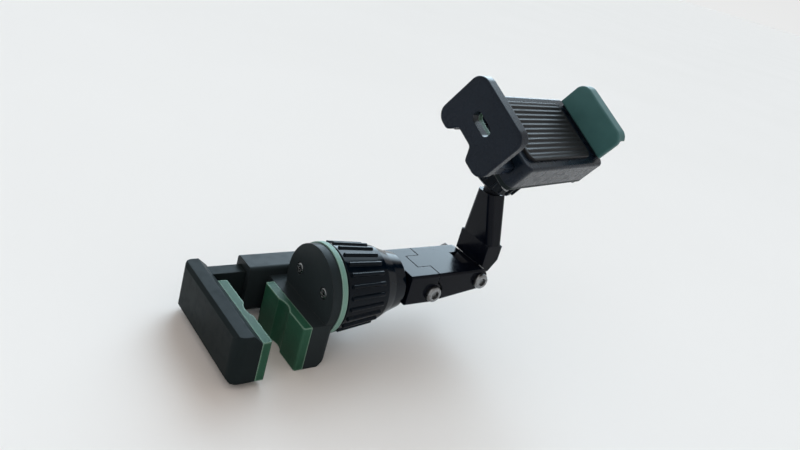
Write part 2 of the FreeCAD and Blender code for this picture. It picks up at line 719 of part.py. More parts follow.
def make_hinge_fasteners(screw_label, nut_label, x, z):
    """A round-head screw across the lugs, head on the near side, and its nut on the far side."""
    screw = new_body(screw_label, place(x, "0", z))
    head = circles(screw, "XZ_Plane", [("0", "0")], "hinge_head_radius", "link_half_width")
    pad(screw, head, "hinge_head_height")
    crown = value("link_half_width + hinge_head_height")
    round_edges(screw, "hinge_head_round", lambda edge: lies_at(edge, 1, -crown))
    length = "2 * link_half_width + hinge_nut_height + hinge_screw_end"
    shank = circles(screw, "XZ_Plane", [("0", "0")], "hinge_screw_radius", "link_half_width")
    pad(screw, shank, length, backwards=True)
    nut = new_body(nut_label, place(x, "0", z))
    flat = "hinge_nut_flats / 2"
    corner = "hinge_nut_flats / 2 * tan(30)"
    hexagon = polygon(nut, "XZ_Plane", [
        (flat, f"-{corner}"), (flat, corner), ("0", f"2 * {corner}"),
        (f"-{flat}", corner), (f"-{flat}", f"-{corner}"), ("0", f"-2 * {corner}"),
    ], "-link_half_width")
    pad(nut, hexagon, "hinge_nut_height", backwards=True)
    hole = circles(nut, "XZ_Plane", [("0", "0")], "hinge_screw_radius", "-link_half_width")
    pocket(nut, hole, "hinge_nut_height")


def make_upper_arm():
    body = new_body("upper_arm", place(SECOND_PIVOT_X, "0", SECOND_PIVOT_Z))
    foot_end = "(arm_foot_start + arm_foot_depth)"
    foot = [
        ("arm_foot_start", "arm_foot_low"),
        ("arm_foot_start", "knuckle_radius / 4"),
        (f"{foot_end} - arm_foot_slope", "knuckle_radius / 2"),
        (foot_end, "arm_foot_low"),
        (foot_end, "arm_foot_rise"),
        ("arm_foot_start", "arm_foot_rise"),
    ]
    lower = rectangle(body, "XY_Plane", ("arm_foot_start", "-arm_foot_half_width"),
                      (foot_end, "arm_foot_half_width"), "arm_foot_rise")
    upper = rectangle(body, "XY_Plane", ("arm_offset - arm_top_width / 2", "-arm_top_depth / 2"),
                      ("arm_offset + arm_top_width / 2", "arm_top_depth / 2"), "arm_top_rise")
    loft(body, lower, upper)
    low, high = value("arm_foot_rise"), value("arm_top_rise")
    round_edges(body, "arm_corner_round", lambda edge: slants_between(edge, low, high))
    pad(body, polygon(body, "XZ_Plane", foot), "2 * arm_foot_half_width", symmetric=True)
    clear_lugs(body)
    add_tongue(body)
    pad(body, polygon(body, "XZ_Plane", foot), "2 * tongue_half_width", symmetric=True)
    stud = circles(body, "XY_Plane", [("arm_offset", "0")], "stud_radius", "arm_top_rise")
    pad(body, stud, "arm_rise - arm_top_rise")
    ball = sphere(body, "Additive", "clip_ball_radius", "XY_Plane", "arm_rise")
    ball.setExpression("AttachmentOffset.Base.x", bound("arm_offset"))
    doc.recompute()
    drill_tongue(body)


def slants_between(edge, low, high):
    """An edge that climbs from one level to the other."""
    heights = sorted(point.z for point in ends(edge))
    return len(heights) == 2 and abs(heights[0] - low) < TINY and abs(heights[1] - high) < TINY


def make_clip_back():
    body = new_body("clip_back", clip_place())
    plate = rectangle(body, "XY_Plane", (SHELL_NEAR, "-shell_half_height"),
                      (SHELL_FAR, "shell_half_height"), BACK_FACE)
    pad(body, plate, "back_thickness")
    round_edges(body, "shell_round", lambda edge: runs_along(edge, 2))
    round_edges(body, "shell_edge_round", lambda edge: lies_at(edge, 2, value(BACK_FACE)))
    cup = circles(body, "XY_Plane", [("0", "0")], "cup_radius", "-cup_lip_reach")
    pad(body, cup, f"{BACK_FACE} + cup_lip_reach + back_thickness / 2")
    sphere(body, "Subtractive", "clip_ball_radius + ball_clearance", "XY_Plane", "0")
    half = "finger_slot_width / 2"
    for plane in ("XZ_Plane", "YZ_Plane"):
        slot = rectangle(body, plane, (f"-{half}", "-cup_lip_reach"), (half, "clip_ball_radius / 2"))
        pocket(body, slot, "2 * cup_radius", symmetric=True)
    holes = circles(body, "XY_Plane", SHELL_SCREWS, "small_screw_radius", BACK_FACE)
    pocket(body, holes, "back_thickness", backwards=True)


def make_clip_nut():
    body = new_body("clip_nut", clip_place("0", "0", "-cup_lip_reach - clip_nut_lip_gap - clip_nut_lip"))
    thread = "(cup_radius + thread_clearance)"
    revolve(body, [
        ("clip_mouth_radius + clip_mouth_flare", "0"),
        ("clip_nut_radius - collar_edge_break", "0"),
        ("clip_nut_radius", "collar_edge_break"),
        ("clip_nut_radius", "clip_nut_length - collar_edge_break"),
        ("clip_nut_radius - collar_edge_break", "clip_nut_length"),
        (thread, "clip_nut_length"),
        (thread, "clip_nut_lip"),
        ("clip_mouth_radius", "clip_nut_lip"),
    ])
    rib = circles(body, "XY_Plane", [("clip_nut_radius", "0")], "clip_rib_radius", "clip_rib_start")
    around(body, pad(body, rib, "clip_rib_length"), "clip_rib_count")


def make_clip_shell():
    body = new_body("clip_shell", clip_place())
    block = rectangle(body, "XY_Plane", (SHELL_NEAR, "-shell_half_height"),
                      (SHELL_FAR, "shell_half_height"), SHELL_BACK)
    pad(body, block, "shell_depth")
    round_edges(body, "shell_round", lambda edge: runs_along(edge, 2))
    front = value(SHELL_FRONT)
    round_edges(body, "shell_edge_round", lambda edge: lies_at(edge, 2, front))
    hollow = rectangle(body, "XY_Plane", (f"{SHELL_NEAR} + shell_wall", "-shell_half_height + shell_wall"),
                       (f"{SHELL_FAR} - jaw_plate", "shell_half_height - shell_wall"), SHELL_BACK)
    pocket(body, hollow, "shell_depth - shell_wall", backwards=True)
    bosses = circles(body, "XY_Plane", SHELL_SCREWS, "boss_radius", SHELL_BACK)
    pad(body, bosses, "shell_depth - shell_wall / 2")
    screw_holes = circles(body, "XY_Plane", SHELL_SCREWS, "small_screw_radius", SHELL_BACK)
    pocket(body, screw_holes, "shell_screw_length - back_thickness", backwards=True)
    room = "(bar_height / 2 + slide_clearance)"
    for middle in BAR_MIDDLES:
        window = rectangle(body, "YZ_Plane", (f"{middle} - {room}", f"{BAR_LOW} - slide_clearance"),
                           (f"{middle} + {room}", f"{BAR_HIGH} + slide_clearance"), SHELL_NEAR)
        pocket(body, window, "shell_wall", backwards=True)
    half = "(jaw_half_height - grip_pad_margin)"
    plate = rectangle(body, "YZ_Plane", (f"-{half}", SHELL_BACK), (half, CAP_SEAT), SHELL_FAR)
    pad(body, plate, "jaw_plate", backwards=True)


def round_corners(body, levels):
    """Rounds the corners of a jaw at the given levels of its outline."""
    tops = (-value("jaw_half_height"), value("jaw_half_height"))
    round_edges(body, "jaw_corner_round", lambda edge: runs_along(edge, 0)
                and lies_at(edge, 1, *tops) and lies_at(edge, 2, *levels))


def cut_window(body, outer, depth):
    """The oblong window for the phone's side keys."""
    window = rectangle(body, "YZ_Plane", ("-window_half_length", f"{WINDOW_MIDDLE} - window_half_width"),
                       ("window_half_length", f"{WINDOW_MIDDLE} + window_half_width"), outer)
    pocket(body, window, depth, backwards=True)
    sides = (-value("window_half_length"), value("window_half_length"))
    levels = (value(f"{WINDOW_MIDDLE} - window_half_width"), value(f"{WINDOW_MIDDLE} + window_half_width"))
    round_edges(body, "window_round", lambda edge: runs_along(edge, 0)
                and lies_at(edge, 1, *sides) and lies_at(edge, 2, *levels))


def make_near_jaw():
    body = new_body("near_jaw", clip_place())
    plate = rectangle(body, "YZ_Plane", ("-jaw_half_height", NEAR_JAW_BACK), ("jaw_half_height", JAW_FRONT),
                      NEAR_PLATE_OUTER)
    pad(body, plate, "jaw_plate")
    lip = rectangle(body, "YZ_Plane", ("-jaw_half_height", CAP_SEAT), ("jaw_half_height", JAW_FRONT),
                    NEAR_PLATE_INNER)
    pad(body, lip, "lip_overhang")
    round_corners(body, [value(NEAR_JAW_BACK), value(JAW_FRONT)])
    notch_root = f"({NEAR_JAW_BACK} + jaw_notch_depth)"
    notch = polygon(body, "YZ_Plane", [
        ("jaw_notch_middle - jaw_notch_mouth_half", NEAR_JAW_BACK),
        ("jaw_notch_middle + jaw_notch_mouth_half", NEAR_JAW_BACK),
        ("jaw_notch_middle + jaw_notch_root_half", notch_root),
        ("jaw_notch_middle - jaw_notch_root_half", notch_root),
    ], NEAR_PLATE_OUTER)
    pocket(body, notch, "jaw_plate", backwards=True)
    mouth = [value(f"jaw_notch_middle {sign} jaw_notch_mouth_half") for sign in "+-"]
    root = [value(f"jaw_notch_middle {sign} jaw_notch_root_half") for sign in "+-"]
    round_edges(body, "jaw_notch_round", lambda edge: runs_along(edge, 0) and lies_at(edge, 1, *mouth, *root))
    outer = value(NEAR_PLATE_OUTER)
    round_edges(body, "jaw_edge_round", lambda edge: lies_at(edge, 0, outer))
    for middle in BAR_MIDDLES:
        bar = rectangle(body, "YZ_Plane", (f"{middle} - bar_height / 2", BAR_LOW),
                        (f"{middle} + bar_height / 2", BAR_HIGH), NEAR_PLATE_INNER)
        pad(body, bar, "bar_reach")
    cut_window(body, NEAR_PLATE_OUTER, "jaw_plate")
    holes = circles(body, "YZ_Plane", CROSSBAR_SCREWS, "small_screw_radius", BAR_END)
    pocket(body, holes, "crossbar_screw_length - crossbar_thickness")


def make_near_grip_pad():
    """The rubber pad on the near jaw's inner face, behind its lip."""
    body = new_body("near_grip_pad", clip_place())
    half = "(jaw_half_height - grip_pad_margin)"
    sheet = rectangle(body, "YZ_Plane", (f"-{half}", "phone_back_level"), (half, CAP_SEAT), NEAR_GRIP_FACE)
    pad(body, sheet, "grip_pad_thickness", backwards=True)
    face = value(NEAR_GRIP_FACE)
    round_edges(body, "pad_edge_round", lambda edge: lies_at(edge, 0, face))
    cut_window(body, NEAR_PLATE_INNER, "grip_pad_thickness")


def make_far_grip_pad():
    """The rubber pad on the far jaw, folded over the front edge of its plate."""
    body = new_body("far_grip_pad", clip_place())
    sheet = rectangle(body, "YZ_Plane", ("-jaw_half_height", "phone_back_level"),
                      ("jaw_half_height", JAW_FRONT), "far_grip_face")
    pad(body, sheet, "grip_pad_thickness")
    cap = rectangle(body, "YZ_Plane", ("-jaw_half_height", CAP_SEAT), ("jaw_half_height", JAW_FRONT),
                    "far_grip_face + grip_pad_thickness")
    pad(body, cap, "jaw_plate")
    round_corners(body, [value(JAW_FRONT)])
    face = value("far_grip_face")
    round_edges(body, "pad_edge_round", lambda edge: lies_at(edge, 0, face))


def make_rest_pad():
    body = new_body("phone_rest_pad", clip_place())
    half = "(shell_half_height - rest_pad_margin)"
    sheet = rectangle(body, "XY_Plane", (f"{SHELL_NEAR} + rest_pad_margin", f"-{half}"),
                      ("far_grip_face - rest_pad_margin", half), SHELL_FRONT)
    pad(body, sheet, "rest_pad_thickness")
    round_edges(body, "shell_round", lambda edge: runs_along(edge, 2))


def make_crossbar():
    body = new_body("jaw_crossbar", clip_place())
    half = "(bar_offset + bar_height / 2)"
    plate = rectangle(body, "YZ_Plane", (f"-{half}", BAR_LOW), (half, BAR_HIGH), BAR_END)
    pad(body, plate, "crossbar_thickness")
    holes = circles(body, "YZ_Plane", CROSSBAR_SCREWS, "small_screw_radius", BAR_END)
    pocket(body, holes, "crossbar_thickness", backwards=True)


make_clamp_body()
make_jaw_pad("fixed_jaw_pad", "-fixed_jaw_half_width", "fixed_jaw_half_width", "fixed_jaw_drop", 1)
make_hook_jaw()
make_jaw_pad("hook_jaw_pad", "-hook_near_reach", f"{CHANNEL_NEAR} - slide_clearance", "0", -1)
make_channel_cover()
small_screws("cover_screws", place("0", "0", "0"), COVER_SCREWS, "YZ_Plane",
             "channel_length + cover_thickness", SMALL_SCREW + ("cover_screw_length",), False)
make_spring_pin("hook_spring_pin", HOOK_PIN, TONGUE_LOW, TONGUE_HIGH)
make_spring_pin("channel_spring_pin", CHANNEL_PIN, f"({CHANNEL_LOW} + channel_wall / 2)", CHANNEL_HIGH)
SPRING_START = f"({HOOK_PIN} + spring_pin_radius + spring_end_gap)"
SPRING_END = f"({CHANNEL_PIN} - spring_pin_radius - spring_end_gap)"
make_spring("clamp_spring", place(SPRING_START, BRIDGE_MIDDLE, "tongue_middle_height", ALONG_X),
            "clamp_coil_radius", "clamp_wire_radius", "clamp_coil_turns", f"({SPRING_END} - {SPRING_START})")
make_ball_socket()
small_screws("socket_screws", place("0", "0", "0"), SOCKET_SCREWS, "YZ_Plane",
             f"{FLANGE_FACE} - flange_thickness + socket_head_height", SOCKET_SCREW, True)
make_collar_ring()
make_collar_nut()
make_ball_fork()
make_hinge_fasteners("fork_screw", "fork_nut", FIRST_PIVOT, FIRST_PIVOT_Z)
make_middle_link()
make_hinge_fasteners("link_screw", "link_nut", SECOND_PIVOT_X, SECOND_PIVOT_Z)
make_upper_arm()
make_clip_back()
make_clip_nut()
make_clip_shell()
make_rest_pad()
make_far_grip_pad()
make_near_jaw()
make_near_grip_pad()
make_crossbar()
small_screws("crossbar_screws", clip_place(), CROSSBAR_SCREWS, "YZ_Plane", f"{BAR_END} + crossbar_thickness",
             SMALL_SCREW + ("crossbar_screw_length",), False)
make_spring("clip_spring", clip_place(f"{SHELL_NEAR} + shell_wall", "0", BAR_MIDDLE, ALONG_X),
            "clip_coil_radius", "clip_wire_radius", "clip_coil_turns",
            f"({BAR_END} - {SHELL_NEAR} - shell_wall)")
small_screws("shell_screws", clip_place(), SHELL_SCREWS, "XY_Plane", BACK_FACE,
             SMALL_SCREW + ("shell_screw_length",), True)

doc.recompute()
faults = [item.Name for item in doc.Objects if {"Invalid", "Error"} & set(item.State)]
faults += [body.Label for body in sub_parts if body.Shape.isNull() or not body.Shape.isValid()]
if faults:
    raise RuntimeError("failed: " + ", ".join(faults))
os.makedirs("parts", exist_ok=True)
for body in sub_parts:
    body.Shape.exportStep(f"parts/{body.Label}.step")
    print(body.Label, len(body.Shape.Solids), round(body.Shape.Volume, 1))
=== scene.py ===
import bpy
import json
from math import cos, pi, radians, sin, sqrt, tan
from mathutils import Matrix, Vector


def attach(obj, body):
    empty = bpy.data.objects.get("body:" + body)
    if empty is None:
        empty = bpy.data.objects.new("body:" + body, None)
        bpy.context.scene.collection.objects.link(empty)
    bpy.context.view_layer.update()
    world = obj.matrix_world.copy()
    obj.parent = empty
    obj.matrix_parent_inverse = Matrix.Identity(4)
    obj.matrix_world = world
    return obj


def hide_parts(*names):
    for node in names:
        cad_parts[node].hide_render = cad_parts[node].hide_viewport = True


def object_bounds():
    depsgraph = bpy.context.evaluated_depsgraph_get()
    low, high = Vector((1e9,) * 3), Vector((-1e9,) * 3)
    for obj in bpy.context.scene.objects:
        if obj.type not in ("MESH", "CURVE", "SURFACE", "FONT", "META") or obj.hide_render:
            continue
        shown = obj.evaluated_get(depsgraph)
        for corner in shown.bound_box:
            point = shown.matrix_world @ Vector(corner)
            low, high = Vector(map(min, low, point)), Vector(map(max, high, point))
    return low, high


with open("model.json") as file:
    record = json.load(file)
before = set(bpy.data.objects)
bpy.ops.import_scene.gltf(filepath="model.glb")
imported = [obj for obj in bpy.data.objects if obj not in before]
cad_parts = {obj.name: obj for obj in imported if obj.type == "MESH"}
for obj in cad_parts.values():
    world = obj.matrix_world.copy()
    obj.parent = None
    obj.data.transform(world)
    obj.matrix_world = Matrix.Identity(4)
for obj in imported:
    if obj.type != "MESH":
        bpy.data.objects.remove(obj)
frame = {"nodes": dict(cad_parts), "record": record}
cad_low, cad_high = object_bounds()
scene = bpy.context.scene
MM = 0.001
JOINTS = {joint["name"]: joint for joint in frame["record"]["behaviour"]["joints"]}
BODY_OF = {node: body for body, nodes in frame["record"]["behaviour"]["bodies"].items() for node in nodes}
OUT_OF_CLIP = Vector(JOINTS["clip_swivel"]["axis"]).normalized()
ACROSS_CLIP = -Vector(JOINTS["jaw_slide"]["axis"]).normalized()
UP_CLIP = OUT_OF_CLIP.cross(ACROSS_CLIP)


# Materials

# The colour sockets of a mix node
MIX_FIRST, MIX_SECOND, MIX_RESULT = 6, 7, 2
BEVEL_SAMPLES = 6
# How far the rounded and the true normal agree at an edge, and away from it
AGREE_AT_EDGE, AGREE_AWAY = 0.72, 0.99


class Shader:
    """A material with a principled shader, and short ways to add nodes to it."""

    def __init__(self, name):
        self.material = bpy.data.materials.new(name)
        self.material.use_nodes = True
        self.tree = self.material.node_tree
        self.surface = next(node for node in self.tree.nodes if node.type == "BSDF_PRINCIPLED")
        self.place = self.node("ShaderNodeTexCoord").outputs["Object"]

    def node(self, kind, **settings):
        made = self.tree.nodes.new(kind)
        for key, setting in settings.items():
            setattr(made, key, setting)
        return made

    def join(self, source, target):
        self.tree.links.new(source, target)

    def noise(self, scale, detail=3.0, roughness=0.55):
        """Noise with the given number of waves to a metre."""
        made = self.node("ShaderNodeTexNoise")
        self.join(self.place, made.inputs["Vector"])
        made.inputs["Scale"].default_value = scale
        made.inputs["Detail"].default_value = detail
        made.inputs["Roughness"].default_value = roughness
        return made.outputs["Fac"]

    def spread(self, source, low=0.0, high=1.0, from_low=0.3, from_high=0.7):
        """A range of the source, or else the middle range of a noise, stretched to low and high."""
        made = self.node("ShaderNodeMapRange")
        self.join(source, made.inputs["Value"])
        ends = {"From Min": from_low, "From Max": from_high, "To Min": low, "To Max": high}
        for key, number in ends.items():
            made.inputs[key].default_value = number
        return made.outputs["Result"]

    def mix(self, factor, first, second):
        made = self.node("ShaderNodeMix", data_type="RGBA")
        self.join(factor, made.inputs["Factor"])
        for socket, colour in ((made.inputs[MIX_FIRST], first), (made.inputs[MIX_SECOND], second)):
            if isinstance(colour, tuple):
                socket.default_value = (*colour, 1.0)
            else:
                self.join(colour, socket)
        return made.outputs[MIX_RESULT]

    def math(self, operation, first, second):
        made = self.node("ShaderNodeMath", operation=operation)
        for socket, number in zip(made.inputs, (first, second)):
            if isinstance(number, float):
                socket.default_value = number
            else:
                self.join(number, socket)
        return made.outputs[0]

    def rounded(self, radius):
        """The normal of a surface whose edges look rounded by the given radius."""
        soft = self.node("ShaderNodeBevel", samples=BEVEL_SAMPLES)
        soft.inputs["Radius"].default_value = radius
        return soft.outputs["Normal"]

    def edges(self, width):
        """1 at sharp edges, falling to 0 at the given distance from them."""
        true = self.node("ShaderNodeNewGeometry").outputs["Normal"]
        dot = self.node("ShaderNodeVectorMath", operation="DOT_PRODUCT")
        self.join(self.rounded(width), dot.inputs[0])
        self.join(true, dot.inputs[1])
        return self.spread(dot.outputs["Value"], 1.0, 0.0, AGREE_AT_EDGE, AGREE_AWAY)

    def relief(self, height, strength, distance, radius):
        """Fine bumps on the surface, over edges that look rounded by the given radius."""
        bump = self.node("ShaderNodeBump")
        bump.inputs["Strength"].default_value = strength
        bump.inputs["Distance"].default_value = distance
        self.join(height, bump.inputs["Height"])
        self.join(self.rounded(radius), bump.inputs["Normal"])
        self.join(bump.outputs["Normal"], self.surface.inputs["Normal"])

    def colour(self, source):
        self.join(source, self.surface.inputs["Base Color"])

    def roughness(self, source):
        self.join(source, self.surface.inputs["Roughness"])

    def set(self, **numbers):
        for key, number in numbers.items():
            self.surface.inputs[key.replace("_", " ")].default_value = number


def plastic(name, dark, light, worn, smooth, dull, grain, gloss):
    """Moulded plastic: cloudy colour, spark-eroded grain, scuffs and paler rubbed edges."""
    shader = Shader(name)
    cloud = shader.spread(shader.noise(scale=45.0))
    pits = shader.noise(scale=2600.0, detail=2.0)
    scuffs = shader.spread(shader.noise(scale=320.0, detail=5.0), from_low=0.45, from_high=0.75)
    rubbed = shader.spread(scuffs, low=0.2, high=0.75, from_low=0.0, from_high=1.0)
    wear = shader.math("MULTIPLY", shader.edges(width=0.7 * MM), rubbed)
    shader.colour(shader.mix(wear, shader.mix(cloud, dark, light), worn))
    shader.roughness(shader.spread(scuffs, low=smooth, high=dull, from_low=0.0, from_high=1.0))
    shader.relief(pits, strength=grain, distance=0.03 * MM, radius=0.4 * MM)
    shader.set(IOR=1.5, Specular_IOR_Level=gloss)
    return shader.material


def rubber(name, dark, light, rim_highlight, rim_highlight_width):
    """Soft moulded rubber: fine pebble, cloudy colour and a paler rim on every edge, partly a lighter band
    and partly a painted highlight.
    """
    shader = Shader(name)
    rim_highlight_share = 0.9
    cloud = shader.spread(shader.noise(scale=70.0))
    pebble = shader.noise(scale=3200.0, detail=3.0)
    # Paler rim along every edge: partly a lighter band of the rubber, partly a painted highlight where
    # edges catch light
    edge = shader.math("MULTIPLY", shader.edges(rim_highlight_width), rim_highlight_share)
    shader.colour(shader.mix(edge, shader.mix(cloud, dark, light), rim_highlight))
    shader.roughness(shader.spread(pebble, low=0.4, high=0.6))
    shader.relief(pebble, strength=0.35, distance=0.05 * MM, radius=0.5 * MM)
    shader.set(IOR=1.48, Specular_IOR_Level=0.24)
    return shader.material


def steel(name, tint, smooth, dull, marks):
    """Plated steel with fine turning marks, small stains and edges rubbed bright."""
    shader = Shader(name)
    pale_gain, bright_gain = 1.2, 2.0
    stain = shader.spread(shader.noise(scale=240.0, detail=5.0))
    pale, bright = (tuple(min(1.0, part * gain) for part in tint) for gain in (pale_gain, bright_gain))
    shader.colour(shader.mix(shader.edges(width=0.25 * MM), shader.mix(stain, tint, pale), bright))
    shader.roughness(shader.spread(stain, low=smooth, high=dull, from_low=0.0, from_high=1.0))
    turning = shader.noise(scale=marks, detail=4.0)
    shader.relief(turning, strength=0.12, distance=0.02 * MM, radius=0.15 * MM)
    shader.set(Metallic=1.0)
    return shader.material


GLOSS = plastic(
    "black_gloss", dark=(0.001, 0.0018, 0.0046), light=(0.0024, 0.0036, 0.0074),
    worn=(0.03, 0.035, 0.042), smooth=0.17, dull=0.3, grain=0.1, gloss=0.115)
BLACK = plastic(
    "black_plastic", dark=(0.0046, 0.0086, 0.0155), light=(0.0074, 0.0124, 0.0208),
    worn=(0.035, 0.04, 0.048), smooth=0.26, dull=0.4, grain=0.06, gloss=0.16)
SATIN = plastic(
    "black_satin", dark=(0.0094, 0.0138, 0.015), light=(0.0134, 0.0188, 0.02),
    worn=(0.04, 0.045, 0.046), smooth=0.36, dull=0.5, grain=0.25, gloss=0.033)
# The hook's satin black made paler for the clamp body: painted light on its flange, which the hook and jaw
# shade
SATIN_PAINTED_LIGHT = plastic(
    "black_satin_painted_light", dark=(0.0168, 0.022, 0.0242), light=(0.0215, 0.028, 0.0306),
    worn=(0.045, 0.05, 0.052), smooth=0.36, dull=0.5, grain=0.25, gloss=0.06)
COLLAR = plastic(
    "black_collar", dark=(0.0006, 0.0028, 0.0058), light=(0.0016, 0.0044, 0.0088),
    worn=(0.03, 0.035, 0.042), smooth=0.12, dull=0.24, grain=0.08, gloss=0.105)
# The rim colours below are partly paler rubber and partly painted highlights on the edges
GREEN = rubber(
    "green_rubber", dark=(0.009, 0.056, 0.03), light=(0.016, 0.084, 0.047),
    rim_highlight=(0.26, 0.4, 0.31), rim_highlight_width=1.2 * MM)
# The grip pads' green rubber made paler and more teal for the far pad: a painted reflection
GREEN_PAINTED_REFLECTION = rubber(
    "green_rubber_painted_reflection", dark=(0.036, 0.104, 0.102), light=(0.051, 0.132, 0.131),
    rim_highlight=(0.12, 0.165, 0.15), rim_highlight_width=1.0 * MM)
RING = rubber(
    "pale_green_ring", dark=(0.13, 0.25, 0.2), light=(0.17, 0.3, 0.25),
    rim_highlight=(0.36, 0.48, 0.43), rim_highlight_width=0.8 * MM)
REST = rubber(
    "black_rubber", dark=(0.009, 0.009, 0.01), light=(0.016, 0.016, 0.018),
    rim_highlight=(0.04, 0.04, 0.042), rim_highlight_width=0.5 * MM)
STEEL = steel("plated_steel", tint=(0.22, 0.225, 0.23), smooth=0.2, dull=0.36, marks=900.0)
WIRE = steel("spring_wire", tint=(0.28, 0.28, 0.29), smooth=0.24, dull=0.42, marks=700.0)

FINISH = {
    GLOSS: ("ball_fork", "middle_link", "upper_arm", "channel_cover"),
    COLLAR: ("collar_nut", "clip_nut"),
    BLACK: ("near_jaw", "clip_shell"),
    SATIN_PAINTED_LIGHT: ("clamp_body",),
    SATIN: ("hook_jaw", "ball_socket", "clip_back", "jaw_crossbar"),
    GREEN: ("fixed_jaw_pad", "hook_jaw_pad", "near_grip_pad"),
    GREEN_PAINTED_REFLECTION: ("far_grip_pad",),
    RING: ("collar_ring",),
    STEEL: ("hook_spring_pin", "channel_spring_pin"),
    WIRE: ("clamp_spring", "clip_spring"),
}
for material, nodes in FINISH.items():
    for node in nodes:
        for slot in frame["nodes"][node].material_slots:
            slot.material = material


# Detailed pieces in place of plain CAD nodes

SAME_POINT_DIGITS = 7
STEEP = 0.7
ROUND_STEPS = 96


def add_piece(name, points, faces, material, node, crease=32.0):
    """A mesh object that stands for a CAD node and moves with its body."""
    mesh = bpy.data.meshes.new(name)
    mesh.from_pydata(points, [], faces)
    mesh.update()
    mesh.shade_smooth()
    mesh.set_sharp_from_angle(angle=radians(crease))
    mesh.materials.append(material)
    piece = bpy.data.objects.new(name, mesh)
    scene.collection.objects.link(piece)
    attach(piece, BODY_OF[node])
    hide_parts(node)


def solids_of(node):
    """The points of each separate solid in a CAD node, in metres."""
    mesh = frame["nodes"][node].data
    parent = {}

    def root(key):
        while parent.setdefault(key, key) != key:
            key = parent[key]
        return key

    keys = [tuple(round(part, SAME_POINT_DIGITS) for part in vertex.co) for vertex in mesh.vertices]
    for polygon in mesh.polygons:
        first, *others = (keys[index] for index in polygon.vertices)
        for other in others:
            parent[root(other)] = root(first)
    groups = {}
    for key in set(keys):
        groups.setdefault(root(key), []).append(Vector(key))
    return sorted(groups.values(), key=lambda group: tuple(sum(group, Vector()) / len(group)))


def extent(points, axis):
    along = [point.dot(axis) for point in points]
    return min(along), max(along)


def frame_along(axis):
    """Two directions square to an axis and to each other."""
    side = Vector((0, 0, 1)) if abs(axis.z) < STEEP else Vector((0, 1, 0))
    first = (side - axis * side.dot(axis)).normalized()
    return first, axis.cross(first)


def centre_line(solid, axis):
    """The point on a solid's centre line that lies level with the origin."""
    first, second = frame_along(axis)
    return first * sum(extent(solid, first)) / 2 + second * sum(extent(solid, second)) / 2


def placed(points, centre, axis):
    """Points of a solid that was drawn around Z, moved to its centre line."""
    first, second = frame_along(axis)
    return [centre + first * x + second * y + axis * z for x, y, z in points]


def skin(rings, closed):
    """Points and faces of a lathe-like solid; a ring gives (radius, height) for each angle."""
    angles = [2 * pi * step / ROUND_STEPS for step in range(ROUND_STEPS)]
    points = []
    for ring in rings:
        for angle in angles:
            radius, height = ring(angle)
            points.append((radius * cos(angle), radius * sin(angle), height))
    faces = []
    count = len(rings)
    for lower in range(count if closed else count - 1):
        upper = (lower + 1) % count
        for step in range(ROUND_STEPS):
            after = (step + 1) % ROUND_STEPS
            faces.append([ring * ROUND_STEPS + index for ring, index in
                          ((lower, step), (lower, after), (upper, after), (upper, step))])
    if not closed:
        for ring, order in ((0, -1), (count - 1, 1)):
            faces.append([ring * ROUND_STEPS + step for step in range(ROUND_STEPS)][::order])
    return points, faces


def level(radius, height):
    return lambda angle: (radius, height)


def hexagon(angle, flats):
    """The distance to a hexagon's side, whose corners lie at 0, 60 and so on."""
    turned = angle % (pi / 3) - pi / 6
    return flats / 2 / cos(turned)


def cross(angle, reach, half_width):
    """The distance to the outline of a plus sign."""
    tiny = 1e-6
    turned = abs((angle + pi / 4) % (pi / 2) - pi / 4)
    return min(reach / cos(turned), half_width / max(sin(turned), tiny))


# Screws

# Shares of the shank's radius
POINT_RADIUS, POINT_LENGTH = 0.55, 0.5
CREST_RADIUS, ROOT_RADIUS, THREAD_PITCH = 0.95, 0.82, 0.45
# Turns of thread that the plain neck takes up
NECK_TURNS = 2
# Shares of the head's radius, apart from those of its height
UNDERSIDE_RADIUS, UNDERSIDE_RISE_OF_HEIGHT = 0.98, 0.08
DOME, DOME_OF_HEIGHT, DOME_STEPS = 0.35, 0.75, 6
SOCKET_FLATS, SOCKET_DEPTH_OF_HEIGHT = 0.95, 0.6
CROSS_REACH, CROSS_HALF_WIDTH, CROSS_DEPTH_OF_HEIGHT = 0.62, 0.15, 0.7
RECESS_LIP = 0.035
# Shares of the recess: its width at the bottom and at the drill point, and the depth of that point
RECESS_BOTTOM, RECESS_POINT, RECESS_POINT_DEPTH = 0.86, 0.2, 1.15
# What counts as the head in a plain CAD screw, and how far below its seat the shank is measured
HEAD_SHARE, SEAT_TOLERANCE = 0.8, 0.05 * MM


def screw_rings(head, shank, seat, top, tip, recess, depth):
    """A domed head with a recess of the given outline, on a shank with a pointed thread end."""
    height = top - seat
    dome = min(height * DOME_OF_HEIGHT, head * DOME)
    thread_start = tip + shank * POINT_LENGTH
    rings = [level(shank * POINT_RADIUS, tip), level(shank * CREST_RADIUS, thread_start)]
    pitch = shank * THREAD_PITCH
    for turn in range(int((seat - tip) / pitch) - NECK_TURNS):
        crest = thread_start + pitch * (turn + 0.5)
        rings += [level(shank * CREST_RADIUS, crest), level(shank * ROOT_RADIUS, crest + pitch / 2)]
    rings += [level(shank, seat), level(head * UNDERSIDE_RADIUS, seat),
              level(head, seat + height * UNDERSIDE_RISE_OF_HEIGHT)]
    for step in range(DOME_STEPS + 1):
        bend = pi / 2 * step / DOME_STEPS
        rings.append(level(head - dome * (1 - cos(bend)), top - dome * (1 - sin(bend))))
    lip = head * RECESS_LIP
    rings.append(lambda angle: (recess(angle) + lip, top))
    rings.append(lambda angle: (recess(angle), top - lip))
    rings.append(lambda angle: (recess(angle) * RECESS_BOTTOM, top - depth))
    rings.append(lambda angle: (recess(angle) * RECESS_POINT, top - depth * RECESS_POINT_DEPTH))
    return rings


